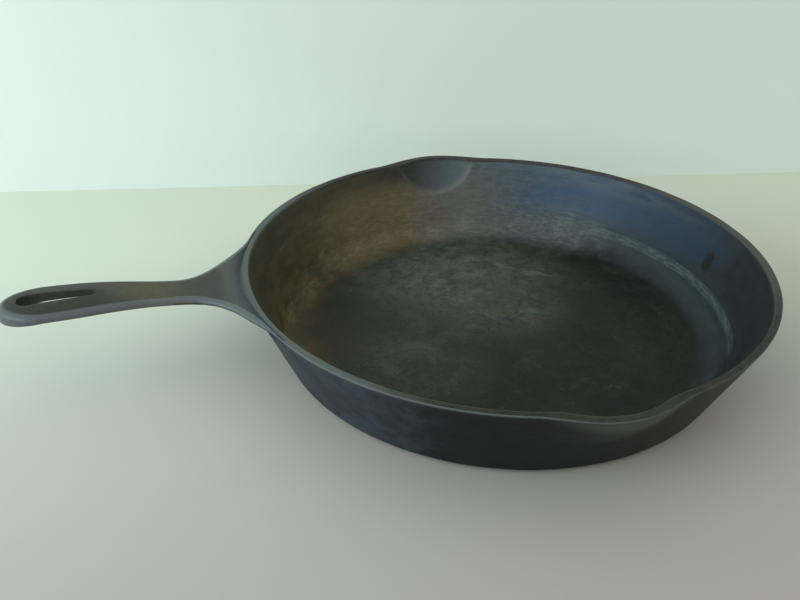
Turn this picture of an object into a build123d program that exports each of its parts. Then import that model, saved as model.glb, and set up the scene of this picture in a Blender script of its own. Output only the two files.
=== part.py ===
from build123d import *
import os
from math import cos, radians, sin, sqrt

# A cast iron skillet: a shallow round pan with two pouring lips and one crowned handle.
# It is one casting. Each named feature is cut out as its own solid, and the solids meet face to face.
# Millimetres. Origin: centre of the pan on the surface that it stands on. Handle along -X, lips at +Y and -Y.

# pan
rim_radius = 149.0
rim_height = 52.3
rim_width = 4.5
foot_radius = 125.9
foot_round = 5.0
floor_thickness = 4.2
inner_corner_round = 16.0

# ring that the pan stands on
ring_height = 1.4
ring_width = 6.0
ring_inset = 3.5
ring_edge_round = 0.5

# pouring lips: a ball presses a scoop out of the wall, and the wall bulges round it
scoop_radius = 45.0
scoop_rise = 17.7
lip_reach = 7.0
lip_thickness = 5.0
lip_blend = 14.0
lip_half_width = 38.0
lip_depth = 28.0

# handle, seen from above
handle_length = 121.4
neck_half_width = 11.2
neck_from_rim = 34.0
grip_half_width = 16.7
grip_pull_wide = 26.0
grip_pull_neck = 22.0
nose_length = 22.4
flare_angle = 24.0
flare_pull_neck = 20.0
flare_pull_rim = 27.0

# handle, seen from the side
handle_thickness = 4.3
tip_thickness = 8.0
tip_run = 25.0
crown_rise = 4.4
crown_half_width = 22.0
crown_from_rim = 16.0
crown_run = 67.0
droop_share = 0.55
droop_run = 32.0
handle_edge_round = 1.2
root_blend = 8.0
web_overlap = 0.05

# hanging hole: a teardrop, wide at the tip
hole_wide_radius = 5.2
hole_wide_from_tip = 15.4
hole_narrow_radius = 2.5
hole_narrow_from_tip = 46.3

# where the casting is divided
eye_length = 52.0
floor_zone_inset = 1.5

# how far a cutting tool runs past what it cuts, how far a joined piece runs into its neighbour,
# how near counts as touching, and how steep an edge counts as upright
clear = 60.0
bite = 3.0
touching = 0.25
upright = 0.9
surface_columns = 24
surface_rows = 10

# worked out from the sizes above
floor_top = ring_height + floor_thickness
ring_outer = foot_radius - ring_inset
ring_inner = ring_outer - ring_width
wall_slope = (rim_radius - foot_radius) / (rim_height - ring_height)
inner_rim = rim_radius - rim_width
inner_foot = inner_rim - wall_slope * (rim_height - floor_top)
tip_x = -rim_radius - handle_length
neck_x = -rim_radius - neck_from_rim
nose_x = tip_x + nose_length
eye_x = tip_x + eye_length
flare_x = -rim_radius * cos(radians(flare_angle))
flare_y = rim_radius * sin(radians(flare_angle))


def profile(*points):
    """A closed section of the pan, in the plane of its axis."""
    return Plane.XZ * make_face(Polyline(*points, close=True))


def corners(face, x, z):
    """The corner of a section at one place."""
    return [v for v in face.vertices() if (v.center() - Vector(x, 0, z)).length < touching]


def make_pan():
    """Floor, wall and standing ring, turned about the middle."""
    section = profile(
        (0, ring_height),
        (ring_inner, ring_height),
        (ring_inner, 0),
        (ring_outer, 0),
        (ring_outer, ring_height),
        (foot_radius, ring_height),
        (rim_radius, rim_height),
        (inner_rim, rim_height),
        (inner_foot, floor_top),
        (0, floor_top),
    )
    section = fillet(corners(section, foot_radius, ring_height), foot_round)
    section = fillet(corners(section, inner_foot, floor_top), inner_corner_round)
    ring_edges = corners(section, ring_inner, 0) + corners(section, ring_outer, 0)
    return revolve(fillet(ring_edges, ring_edge_round), Axis.Z)


def make_inside():
    """The room above the floor and inside the wall, carried on upwards."""
    top = rim_height + clear
    return revolve(
        profile((0, floor_top), (inner_foot, floor_top), (inner_rim, rim_height), (inner_rim, top), (0, top)),
        Axis.Z,
    )


def make_envelope():
    """Everything within the cone of the wall's outer face, carried on above the rim."""
    low = foot_radius - wall_slope * ring_height
    high = rim_radius + wall_slope * clear
    top = rim_height + clear
    return revolve(profile((0, 0), (low, 0), (high, top), (0, top)), Axis.Z)


def scoop_centre(side):
    """The middle of the ball that presses one pouring lip. side is +1 or -1."""
    across = sqrt((scoop_radius + lip_thickness) ** 2 - scoop_rise**2)
    return Vector(0, side * (rim_radius + lip_reach - across), rim_height + scoop_rise)


def scoop_ball(side, skin=0.0):
    """The ball that presses one pouring lip, or the skin of metal round it."""
    return Pos(scoop_centre(side)) * Sphere(scoop_radius + skin)


def below_rim():
    reach = rim_radius + clear
    return Pos(0, 0, rim_height / 2) * Box(2 * reach, 2 * reach, rim_height)


def is_bulge_seam(edge):
    """Whether an edge is where a lip's bulge leaves the wall's outer face."""
    place = edge @ 0.5
    depth = rim_height - place.Z
    from_ball = (place - scoop_centre(1 if place.Y > 0 else -1)).length - scoop_radius - lip_thickness
    from_wall = Vector(place.X, place.Y).length - (rim_radius - wall_slope * depth)
    return depth > bite and max(abs(from_ball), abs(from_wall)) < touching


def add_lips(pan):
    """Bulge the wall at both lips, blend the bulges into it, then press the scoops."""
    for side in (1, -1):
        pan = pan + ((scoop_ball(side, lip_thickness) & below_rim()) - make_inside())
    pan = fillet([e for e in pan.edges() if is_bulge_seam(e)], lip_blend)
    for side in (1, -1):
        pan = pan - scoop_ball(side)
    return pan


def smooth_step(value):
    value = min(1.0, max(0.0, value))
    return value * value * (3 - 2 * value)


def crown(x):
    """How far the handle's ridge stands above the rim."""
    rise = crown_rise * smooth_step((-rim_radius - crown_from_rim - x) / crown_run)
    droop = max(0.0, 1 - (x - tip_x) / droop_run)
    return rise * (1 - droop_share * droop**2)


def handle_top(x, y):
    across = min(1.0, abs(y) / crown_half_width)
    return rim_height + crown(x) * (1 - across**2)


def handle_bottom(x, y):
    deepening = smooth_step(1 - (x - tip_x) / tip_run)
    return handle_top(x, y) - handle_thickness - (tip_thickness - handle_thickness) * deepening


def block_under(height):
    """All the room below a smooth surface z = height(x, y) that covers the whole handle."""
    start = tip_x - bite
    run = flare_x + bite - start
    half = flare_y + bite
    points = [
        [
            Vector(x, y, height(x, y))
            for y in (half * (2 * row / surface_rows - 1) for row in range(surface_rows + 1))
        ]
        for x in (start + run * column / surface_columns for column in range(surface_columns + 1))
    ]
    return extrude(Face.make_surface_from_array_of_points(points), amount=rim_height, dir=(0, 0, -1))


def side_outline():
    """One edge of the handle seen from above, from the tip to where it leaves the rim's circle."""
    leave = Vector(flare_x, flare_y)
    along = Vector(sin(radians(flare_angle)), cos(radians(flare_angle)))
    nose = EllipticalCenterArc((nose_x, 0), nose_length, grip_half_width, start_angle=90, arc_size=90)
    grip = Bezier(
        (nose_x, grip_half_width),
        (nose_x + grip_pull_wide, grip_half_width),
        (neck_x - grip_pull_neck, neck_half_width),
        (neck_x, neck_half_width),
    )
    flare = Bezier(
        (neck_x, neck_half_width),
        (neck_x + flare_pull_neck, neck_half_width),
        leave - along * flare_pull_rim,
        leave,
    )
    return [nose, grip, flare]


def make_blank():
    """The handle's outline as a tall block."""
    near = side_outline()
    far = [edge.mirror(Plane.XZ) for edge in near]
    closing = Line((flare_x, flare_y), (flare_x, -flare_y))
    return Pos(0, 0, rim_height - clear / 2) * extrude(make_face(near + [closing] + far), amount=clear)


def make_root_web():
    """A ring of metal in the corner between the wall and the handle's underside, with a hollow face."""
    under = rim_height - handle_thickness + web_overlap
    wall_at = rim_radius - wall_slope * handle_thickness
    foot = (wall_at - wall_slope * root_blend, under - root_blend)
    outer = (wall_at + root_blend, under)
    back = foot[0] - bite
    edges = [
        Line(foot, (back, foot[1])),
        Line((back, foot[1]), (back, under + bite / 2)),
        Line((back, under + bite / 2), (outer[0], under + bite / 2)),
        Line((outer[0], under + bite / 2), outer),
        TangentArc(outer, foot, tangent=(-1, 0)),
    ]
    return revolve(Plane.XZ * make_face(edges), Axis.Z)


def make_hole():
    """The hanging hole: two circles joined by their common tangents."""
    wide = Pos(tip_x + hole_wide_from_tip, 0) * Circle(hole_wide_radius)
    narrow = Pos(tip_x + hole_narrow_from_tip, 0) * Circle(hole_narrow_radius)
    outline = make_hull((wide + narrow).edges())
    return Pos(0, 0, rim_height - clear / 2) * extrude(outline, amount=clear)


def make_handle():
    """The whole handle, from its tip to the wall's outer face."""
    blank = make_blank()
    plate = (blank & block_under(handle_top)) - block_under(handle_bottom)
    outline_edges = [e for e in plate.edges() if abs(e.tangent_at(0).Z) < upright and abs(e.center().Y) > bite]
    plate = fillet(outline_edges, handle_edge_round)
    web = make_root_web() & blank
    return plate + web - make_envelope() - make_hole()


def lip_zone(side):
    """The stretch of wall that one pouring lip takes up."""
    reach = lip_half_width + lip_reach + rim_radius - foot_radius
    middle = foot_radius - lip_half_width + reach / 2 + bite
    low = rim_height - lip_depth
    return Pos(0, side * middle, low + clear / 2) * Box(2 * lip_half_width, reach, clear)


def behind(x):
    """All the room on the tip's side of an upright plane."""
    size = 2 * (rim_radius + handle_length)
    return Pos(x - size / 2, 0, 0) * Box(size, size, size)


def divide(pan, handle):
    """Cut the casting into its named features."""
    floor_zone = Pos(0, 0, ring_height + clear / 2) * Cylinder(ring_inner - floor_zone_inset, clear)
    ring_zone = Pos(0, 0, ring_height / 2) * Cylinder(rim_radius, ring_height)
    return {
        "cooking_floor": pan & floor_zone,
        "heat_ring": pan & ring_zone,
        "side_wall": pan - floor_zone - ring_zone - lip_zone(1) - lip_zone(-1),
        "pour_spout_left": pan & lip_zone(1),
        "pour_spout_right": pan & lip_zone(-1),
        "handle_root": handle - behind(neck_x),
        "handle_grip": (handle & behind(neck_x)) - behind(eye_x),
        "handle_eye": handle & behind(eye_x),
    }


def main():
    os.makedirs("parts", exist_ok=True)
    for name, piece in divide(add_lips(make_pan()), make_handle()).items():
        export_step(piece, f"parts/{name}.step")


main()
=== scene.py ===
from math import atan, cos, pi, radians, sin, sqrt, tan

import bmesh
import bpy
import numpy as np
from mathutils import Matrix, Vector


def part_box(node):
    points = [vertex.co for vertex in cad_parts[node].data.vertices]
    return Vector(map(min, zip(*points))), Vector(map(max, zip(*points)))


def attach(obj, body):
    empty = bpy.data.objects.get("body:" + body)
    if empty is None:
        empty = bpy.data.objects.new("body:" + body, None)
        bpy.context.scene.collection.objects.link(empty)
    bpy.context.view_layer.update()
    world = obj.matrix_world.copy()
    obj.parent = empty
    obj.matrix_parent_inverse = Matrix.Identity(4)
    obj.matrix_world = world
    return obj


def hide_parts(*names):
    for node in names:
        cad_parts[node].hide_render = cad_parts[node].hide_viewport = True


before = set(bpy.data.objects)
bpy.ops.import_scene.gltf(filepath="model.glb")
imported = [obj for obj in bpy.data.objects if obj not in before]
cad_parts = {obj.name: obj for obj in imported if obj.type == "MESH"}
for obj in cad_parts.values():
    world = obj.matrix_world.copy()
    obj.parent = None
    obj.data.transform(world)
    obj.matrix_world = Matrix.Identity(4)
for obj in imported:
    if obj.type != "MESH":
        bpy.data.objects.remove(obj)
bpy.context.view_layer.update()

# A seasoned cast iron skillet, made as one skin of metal and then parted into its named features.
# Metres, in the frame of the construction: pan centred on the origin, handle along -X, lips at +Y and -Y.

MM = 0.001
BODY = "root"

# sizes that the construction gives
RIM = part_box("side_wall")[1][0]
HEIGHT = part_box("side_wall")[1][2]
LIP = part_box("pour_spout_left")[1][1]
RING_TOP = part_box("heat_ring")[1][2]
RING_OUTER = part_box("heat_ring")[1][0]
TIP_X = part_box("handle_eye")[0][0]
EYE_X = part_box("handle_eye")[1][0]
NECK_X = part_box("handle_grip")[1][0]
GRIP_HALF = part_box("handle_eye")[1][1]

# pan
RIM_WIDTH = 4.5 * MM
FOOT = 125.9 * MM
FLOOR_TOP = RING_TOP + 4.2 * MM
INNER_CORNER = 16.0 * MM
FOOT_BEND = 3.2 * MM
RING_WIDTH = 6.0 * MM
RING_ROUND = 0.6 * MM
SLOPE = (RIM - FOOT) / (HEIGHT - RING_TOP)
INNER_EDGE = 0.55 * MM
OUTER_EDGE = 0.95 * MM
APRON_START = 2.0 * MM
INNER_FOOT = RIM - RIM_WIDTH - SLOPE * (HEIGHT - FLOOR_TOP)
WALL_TURN = pi / 2 - atan(SLOPE)
FLAT = INNER_FOOT - INNER_CORNER * tan(WALL_TURN / 2)
CORNER_TOP = FLOOR_TOP + INNER_CORNER * (1 - cos(WALL_TURN))

# pouring lips
SCOOP = 45.0 * MM
SCOOP_RISE = 17.7 * MM
LIP_SKIN = 5.0 * MM
SCOOP_EDGE = 0.7 * MM
SCOOP_TOP_EDGE = 2.6 * MM
SCOOP_TOP_RUN = 8 * MM
BULGE_BLEND = 7.0 * MM
SCOOP_DEPTH = 21.0 * MM
BULGE_DEPTH = 30.0 * MM
LIP_SPAN = radians(17)
RIGHT_LIP = 1.5 * pi
LEFT_LIP = 2.5 * pi
LIPS = (("pour_spout_right", RIGHT_LIP), ("pour_spout_left", LEFT_LIP))
BALL_Y = LIP - sqrt((SCOOP + LIP_SKIN) ** 2 - SCOOP_RISE**2)

# handle
NECK_HALF = 11.2 * MM
FLARE_ANGLE = radians(24)
FLARE_PULLS = (20.0 * MM, 27.0 * MM)
GRIP_PULLS = (26.0 * MM, 22.0 * MM)
NOSE = 22.4 * MM
THICKNESS = 4.3 * MM
TIP_THICKNESS = 8.0 * MM
TIP_RUN = 25.0 * MM
CROWN = 4.4 * MM
CROWN_HALF = 22.0 * MM
CROWN_FROM_RIM = 16.0 * MM
CROWN_RUN = 67.0 * MM
DROOP = 0.55
DROOP_RUN = 32.0 * MM
TOP_ROUND = (3.2 * MM, 2.1 * MM)
UNDER_ROUND = (1.6 * MM, 1.5 * MM)
TIP_ROUND = 1.3 * MM
ROOT_THINNING = (4.5 * MM, 0.5 * MM)
ROOT_THINNING_RUN = 18.0 * MM
FLARE_SHIFT = 2.4 * MM
FLARE_SHIFT_HASTE = 1.15
ROOT_BLEND = 8.0 * MM
WEB_SHARE = 0.4
FADE = 4.0 * MM
HOLE_WIDE = 5.2 * MM
HOLE_WIDE_X = TIP_X + 15.4 * MM
HOLE_NARROW = 2.5 * MM
HOLE_NARROW_X = TIP_X + 46.3 * MM
HOLE_ROUND = 0.9 * MM
HOLE_BEAD = 1.5 * MM
SQUARE_RUN = 10.0 * MM
WEB_DEPTH = THICKNESS + ROOT_BLEND

# how finely the skin is divided
FLOOR_SHARES = [0.02] + [step / 14 for step in range(1, 14)]
CORNER_ROWS = 12
WALL_ROWS = 8
SCOOP_ROWS = 38
INNER_EDGE_ROWS = 3
RIM_ROWS = 3
APRON_ROWS = 14
OUTER_EDGE_ROWS = 5
WEB_ROWS = 24
BULGE_ROWS = 12
LOW_WALL_ROWS = 9
FOOT_ROWS = 7
LEDGE_ROWS = 4
TOP_ROUND_ROWS = 5
SIDE_ROWS = 2
UNDER_ROUND_ROWS = 4
EDGE_ROWS = TOP_ROUND_ROWS + SIDE_ROWS + UNDER_ROUND_ROWS
ACROSS_ROWS = 8
HOLLOW_ROWS = 8
HOLE_ROWS = 3
NECK_STEPS = 10
FLARE_STEPS = 44
EYE_STEPS = 104
TANGENT_SHARE = 0.82
COARSE = radians(0.6)
FINE = radians(0.25)
ROOT_STEP = 1.5 * MM
CURVE_POINTS = 400
RING_SEGMENTS = 360
ROUND_SEGMENTS = 4
WELD = MM / 100

# cast surface
CAST_DEPTH = 0.4 * MM
CAST_SWELL = 16.0 * MM
RING_SMOOTHNESS = 0.25
CAST_SEED = 7.0
GRAIN_DEPTH = 0.25 * MM
GRAIN_STRENGTH = 0.6
SHINE = 0.26
STREAK_TURN = 30.0 * MM
INNER_EDGE_TONE = 0.3
RIDGE_WIDTH = 0.7 * MM
ARC_HEIGHT = 17.5 * MM
ARC_WIDTH = 3.2 * MM
LINE_HEIGHT = 35.0 * MM
LINE_WIDTH = 0.9 * MM
STAIN = (134.8 * MM, 0.5 * MM, 31.0 * MM)

# stage, light and camera
WALL_Y = 0.233
WALL_ANGLE = radians(-8.6)
WALL_HEIGHT = 1.2
STAGE_REACH = 1.6
CLOUD_SIZE = 90 * MM
MATT = 0.6
# where the counter's painted shade fades from the front to the back
FRONT_TO_BACK = (-0.26, 0.20)
WINDOW_PLACE = (-1.10, -0.30, 0.48)
WINDOW_SIZE = (0.9, 0.6)
WINDOW_POWER = 9.0
WINDOW_COLOUR = (0.74, 0.90, 1.0)
ROOM_LIGHT = 0.84
ROOM_COLOUR = (0.97, 1.0, 0.95, 1.0)
CAMERA_PLACE = (-173.05 * MM, -411.52 * MM, 282.03 * MM)
CAMERA_AIM = (-48.10 * MM, 49.05 * MM, 0.0)
CAMERA_ROLL = radians(1.149)
CAMERA_LENS = 39.40
CAMERA_SENSOR = 36.0
CAMERA_NEAR = 10.0 * MM


def smooth_step(value):
    value = np.clip(value, 0.0, 1.0)
    return value * value * (3 - 2 * value)


def soft_max(a, b, blend):
    near = np.maximum(blend - np.abs(a - b), 0.0) / blend
    return np.maximum(a, b) + near * near * blend / 4


def evenly(count):
    """Shares of a way, in even steps to its end, without its start."""
    return np.arange(1, count + 1) / count


def straight(start, end, count):
    """Evenly spaced points from start to end, without start."""
    return start + (end - start) * evenly(count)[:, None]


def bend(start, corner, end, count):
    """Points round a corner, without start."""
    share = evenly(count)[:, None]
    return (1 - share) ** 2 * start + 2 * share * (1 - share) * corner + share**2 * end


def cubic(p0, p1, p2, p3, share):
    share = share[:, None]
    rest = 1 - share
    return rest**3 * p0 + 3 * rest**2 * share * p1 + 3 * rest * share**2 * p2 + share**3 * p3


def spread(points, count):
    """A line's points, moved to lie evenly along it, and the line's direction at each."""
    steps = np.linalg.norm(np.diff(points, axis=0), axis=1)
    along = np.concatenate([[0], np.cumsum(steps)])
    wanted = np.linspace(0, along[-1], count + 1)

    def place(distance):
        return np.stack([np.interp(distance, along, points[:, axis]) for axis in (0, 1)], axis=1)

    way = place(wanted + MM / 10) - place(wanted - MM / 10)
    return place(wanted), way / np.linalg.norm(way, axis=1)[:, None]


# ---- the pan's section at any angle ----


def ball(angle, height, radius):
    """How far out a lip's ball reaches, along a ray from the pan's middle."""
    across = BALL_Y * np.abs(np.cos(angle))
    square = radius**2 - (height - HEIGHT - SCOOP_RISE) ** 2 - across**2
    return np.where(square > 0, BALL_Y * np.abs(np.sin(angle)) + np.sqrt(np.maximum(square, 0)), 0.0)


def inner_radius(angle, height):
    cone = RIM - RIM_WIDTH - SLOPE * (HEIGHT - height)
    near_top = smooth_step((height - HEIGHT) / SCOOP_TOP_RUN + 1) * smooth_step(0.5 - 4 * np.sin(angle))
    blend = SCOOP_EDGE + SCOOP_TOP_EDGE * near_top
    return soft_max(cone, ball(angle, height, SCOOP), blend)


def outer_radius(angle, height):
    cone = RIM - SLOPE * (HEIGHT - height)
    return soft_max(cone, ball(angle, height, SCOOP + LIP_SKIN), BULGE_BLEND)


def at(angle, radius, height):
    """A point on a ray, or a line of points when radius and height are lists."""
    radius, height = np.broadcast_arrays(radius, height)
    return np.stack([radius * cos(angle), radius * sin(angle), height], axis=-1)


def column(angle, marks=None):
    """One section of the pan as a line of points: floor, wall, rim, outer wall, underside."""
    points = []

    def lay(more, mark=None):
        points.extend(more)
        if mark and marks is not None:
            marks[mark] = len(points) - 1

    def inner(height):
        return at(angle, inner_radius(angle, height), height)

    def outer(depth):
        return at(angle, outer_radius(angle, HEIGHT - depth), HEIGHT - depth)

    top_in = float(inner_radius(angle, HEIGHT))
    top_out = float(outer_radius(angle, HEIGHT))
    floor = FLAT * np.array(FLOOR_SHARES + [1.0])
    lay(at(angle, floor, FLOOR_TOP), "wall")
    turn = WALL_TURN * evenly(CORNER_ROWS)
    lay(at(angle, FLAT + INNER_CORNER * np.sin(turn), FLOOR_TOP + INNER_CORNER * (1 - np.cos(turn))))
    low = HEIGHT - SCOOP_DEPTH
    lay(inner(CORNER_TOP + (low - CORNER_TOP) * evenly(WALL_ROWS)), "scoop_low")
    lay(inner(low + (SCOOP_DEPTH - INNER_EDGE) * evenly(SCOOP_ROWS)), "lip_edge")
    flat = at(angle, top_in + INNER_EDGE, HEIGHT)
    lay(bend(points[-1], at(angle, top_in, HEIGHT), flat, INNER_EDGE_ROWS), "flat")
    apron = at(angle, top_out - APRON_START, HEIGHT)
    lay(straight(flat, apron, RIM_ROWS), "apron")
    lay(straight(apron, at(angle, top_out - OUTER_EDGE, HEIGHT), APRON_ROWS), "edge")
    lay(bend(points[-1], at(angle, top_out, HEIGHT), outer(OUTER_EDGE), OUTER_EDGE_ROWS), "side")
    lay(outer(OUTER_EDGE + (WEB_DEPTH - OUTER_EDGE) * evenly(WEB_ROWS)), "web_end")
    lay(outer(WEB_DEPTH + (BULGE_DEPTH - WEB_DEPTH) * evenly(BULGE_ROWS)), "bulge_low")
    start = HEIGHT - BULGE_DEPTH
    bend_top = RING_TOP + FOOT_BEND * cos(atan(SLOPE))
    height = start + (bend_top - start) * evenly(LOW_WALL_ROWS)
    lay(at(angle, RIM - SLOPE * (HEIGHT - height), height))
    lay(bend(points[-1], at(angle, FOOT, RING_TOP), at(angle, FOOT - FOOT_BEND, RING_TOP), FOOT_ROWS))
    lay(straight(points[-1], at(angle, FLAT, RING_TOP), LEDGE_ROWS), "under")
    lay(at(angle, floor[-2::-1], RING_TOP))
    return np.array(points)


# ---- the handle's plan and heights ----


def crown(x):
    rise = CROWN * smooth_step((-RIM - CROWN_FROM_RIM - x) / CROWN_RUN)
    droop = np.maximum(0.0, 1 - (x - TIP_X) / DROOP_RUN)
    return rise * (1 - DROOP * droop**2)


def top_height(x, y):
    across = np.minimum(1.0, np.abs(y) / CROWN_HALF)
    return HEIGHT + crown(x) * (1 - across**2)


def under_height(x, y):
    deepening = smooth_step(1 - (x - TIP_X) / TIP_RUN)
    return top_height(x, y) - THICKNESS - (TIP_THICKNESS - THICKNESS) * deepening


def rounds(x):
    """How far the top and under edges are rounded, inwards and down or up. They grow towards the tip."""
    growth = TIP_ROUND * float(smooth_step(1 - (x - TIP_X) / TIP_RUN))
    thinning = float(smooth_step((x - NECK_X) / ROOT_THINNING_RUN))
    top = [size + growth for size in TOP_ROUND]
    under = [size + growth + thinning * more for size, more in zip(UNDER_ROUND, ROOT_THINNING)]
    return top, under


def flare_line():
    """One edge of the root, from the neck to where it leaves the rim's circle."""
    leave = RIM * np.array([-cos(FLARE_ANGLE), sin(FLARE_ANGLE)])
    along = np.array([sin(FLARE_ANGLE), cos(FLARE_ANGLE)])
    neck = np.array([NECK_X, NECK_HALF])
    pulled = leave - along * FLARE_PULLS[1]
    return cubic(neck, neck + [FLARE_PULLS[0], 0], pulled, leave, np.linspace(0, 1, CURVE_POINTS))


def grip_line():
    """One edge of the grip, from the widest place to the neck."""
    wide = np.array([TIP_X + NOSE, GRIP_HALF])
    neck = np.array([NECK_X, NECK_HALF])
    pulled = neck - [GRIP_PULLS[1], 0]
    return cubic(wide, wide + [GRIP_PULLS[0], 0], pulled, neck, np.linspace(0, 1, CURVE_POINTS))


def nose_line():
    """The round end, from the tip to the widest place on one side."""
    turn = np.linspace(0, pi / 2, CURVE_POINTS // 2)
    return np.stack([TIP_X + NOSE - NOSE * np.cos(turn), GRIP_HALF * np.sin(turn)], axis=1)


def grip_half(x):
    line = grip_line()
    return float(np.interp(x, line[:, 0], line[:, 1]))


def on_top(plan):
    return np.array([*plan, float(top_height(*plan))])


def on_under(plan):
    return np.array([*plan, float(under_height(*plan))])


def edge_rows(plan, outward):
    """Round the handle's edge at one place: from the top surface, down the side, to the underside."""
    top, under = rounds(plan[0])
    start = on_top(plan - outward * top[0])
    corner = on_top(plan)
    low_corner = on_under(plan)
    upper = corner - [0, 0, top[1]]
    lower = low_corner + [0, 0, under[1]]
    end = on_under(plan - outward * under[0])
    round_top = bend(start, corner, upper, TOP_ROUND_ROWS)
    side = straight(upper, lower, SIDE_ROWS)
    return start, np.concatenate([round_top, side, bend(lower, low_corner, end, UNDER_ROUND_ROWS)])


# ---- the skin of the whole casting ----

# tones of a point: how far it is inside the pan, on the rim's flat, on an edge that is worn and, towards the
# window, carries a painted highlight
TONES = ("inside", "lip", "edge")
PLAIN = (0.0, 0.0, 0.0)
WORN_AND_HIGHLIGHTED = (0.0, 0.0, 1.0)


class Skin:
    """Points of the casting, and faces kept under the name of the feature that they belong to."""

    def __init__(self):
        self.points = []
        self.tones = []
        self.faces = {}
        self.caps = {}

    def add(self, points, tones=PLAIN):
        """Take a line of points and their tones (inside, lip, edge), and give their numbers."""
        start = len(self.points)
        self.points.extend(points)
        self.tones.extend(np.broadcast_to(tones, (len(points), len(PLAIN))))
        return list(range(start, len(self.points)))

    def face(self, name, *corners):
        if min(corners) >= 0:
            self.faces.setdefault(name, []).append(corners)

    def quads(self, name, first, second):
        """Faces between two lines of numbers; -1 stands for no point."""
        for row in range(len(first) - 1):
            self.face(name, first[row], first[row + 1], second[row + 1], second[row])

    def cap(self, names, loop):
        for name in names:
            self.caps.setdefault(name, []).append(tuple(loop))

    def strip(self, names, first, second):
        """A cap between two lines of numbers."""
        for row in range(len(first) - 1):
            self.cap(names, (first[row], first[row + 1], second[row + 1], second[row]))


def root_columns(skin, marks):
    """The pan's sections behind the handle's root, which follow the tangents of its flared edge."""
    line, way = spread(flare_line(), FLARE_STEPS)
    outward = np.stack([-way[:, 1], way[:, 0]], axis=1)
    facing = np.sum(line * way, axis=1)
    depth = facing**2 - np.sum(line * line, axis=1) + RIM**2
    reach = -facing - np.sqrt(np.maximum(depth, 0))
    touch = line + way * reach[:, None]
    share = np.linspace(0, 1, FLARE_STEPS + 1)
    turns = np.arctan2(touch[:, 1], -touch[:, 0]) * (TANGENT_SHARE + (1 - TANGENT_SHARE) * share**2)
    turns[-1] = FLARE_ANGLE
    half = [(turns[0] * step / NECK_STEPS, step / NECK_STEPS, None) for step in range(NECK_STEPS)]
    half += [(turn, None, place) for turn, place in zip(turns, zip(line, outward, share))]
    left = [root_column(skin, marks, 1, *entry) for entry in reversed(half)]
    return left + [root_column(skin, marks, -1, *entry) for entry in half[1:]]


def shifted(plan, share):
    """A place on the flare's outline, moved a little towards the back between its two ends."""
    return plan + np.array([0, FLARE_SHIFT * sin(pi * min(1.0, share * FLARE_SHIFT_HASTE)) ** 2])


def root_column(skin, marks, side, turn, neck_share, flare_place):
    """One section of the pan that runs on into the handle's root, to the neck or to the flared edge."""
    angle = pi - side * turn
    points = column(angle)
    apron, edge, web_end = (marks[name] for name in ("apron", "edge", "web_end"))
    under_start = edge + 1 + EDGE_ROWS
    bend_start = under_start + ACROSS_ROWS
    foot_start = bend_start + HOLLOW_ROWS
    neck_row = flare_place is None
    if neck_row:
        top_in, under_in = (rounded[0] for rounded in rounds(NECK_X))
        start = on_top((NECK_X, side * neck_share * (NECK_HALF - top_in)))
        end = on_under((NECK_X, side * neck_share * (NECK_HALF - under_in)))
        weight = 1.0
    else:
        plan, outward, share = flare_place
        plan = shifted(plan * [1, side], share)
        start, rounded = edge_rows(plan, outward * [1, side])
        end = rounded[-1]
        weight = float(smooth_step((np.linalg.norm(plan) - RIM) / FADE))
    moved = points.copy()
    moved[apron + 1 : edge + 1] = lay_on(straight(points[apron], start, edge - apron), top_height)
    reach = np.linalg.norm(end[:2]) - RIM + SLOPE * THICKNESS
    web = min(ROOT_BLEND, max(reach * WEB_SHARE, MM / 2))
    web_out = at(angle, RIM - SLOPE * THICKNESS + web, HEIGHT - THICKNESS)
    corner = at(angle, RIM - SLOPE * THICKNESS, HEIGHT - THICKNESS)
    if not neck_row:
        moved[edge + 1 : under_start] = rounded
    moved[under_start:bend_start] = lay_on(straight(end, web_out, ACROSS_ROWS), under_height)
    foot = at(angle, RIM - SLOPE * (THICKNESS + web), HEIGHT - THICKNESS - web)
    moved[bend_start:foot_start] = bend(moved[bend_start - 1], corner, foot, HOLLOW_ROWS)
    moved[foot_start : web_end + 1] = straight(foot, points[web_end], web_end + 1 - foot_start)
    blended = points + (moved - points) * weight
    numbers = skin.add(blended, pan_tones(marks, len(points), root=True))
    if neck_row:
        numbers[edge + 1 : under_start - 1] = [-1] * (EDGE_ROWS - 1)
        skin.points[numbers[under_start - 1]] = end
        for number in (numbers[edge], numbers[under_start - 1]):
            skin.tones[number] = np.array(PLAIN)
    return numbers


def pan_tones(marks, count, root=False):
    """The tones of one section's points."""
    row = np.arange(count)
    inside = (row < marks["flat"]) * 1.0
    lip_end = marks["apron"] if root else marks["side"] + 1
    lip = ((row >= marks["lip_edge"] - 1) & (row <= lip_end)) * 1.0
    inner = (row >= marks["lip_edge"]) & (row <= marks["flat"])
    outer = (row >= marks["edge"]) & (row <= marks["side"])
    return np.stack([inside, lip, inner * INNER_EDGE_TONE + outer * 1.0], axis=1)


def scoop_ridge(angle, points):
    """Extra edge tone where a pressed scoop meets the wall's inner face."""
    height = points[:, 2]
    cone = RIM - RIM_WIDTH - SLOPE * (HEIGHT - height)
    pressed = ball(angle, height, SCOOP)
    near = np.exp(-(((pressed - cone) / RIDGE_WIDTH) ** 2)) * smooth_step((HEIGHT - height) / SCOOP_TOP_RUN)
    inner_side = np.arange(len(points)) < len(points) / 2
    inner_side &= np.abs(np.hypot(*points.T[:2]) - cone) < LIP_SKIN
    edge = near * inner_side * (pressed > 0)
    return np.stack([edge * 0, edge * 0, edge], axis=1)


def lay_on(points, height):
    """Put a line of points at a surface's height."""
    laid = points.copy()
    laid[:, 2] = height(points[:, 0], points[:, 1])
    return laid


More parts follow.
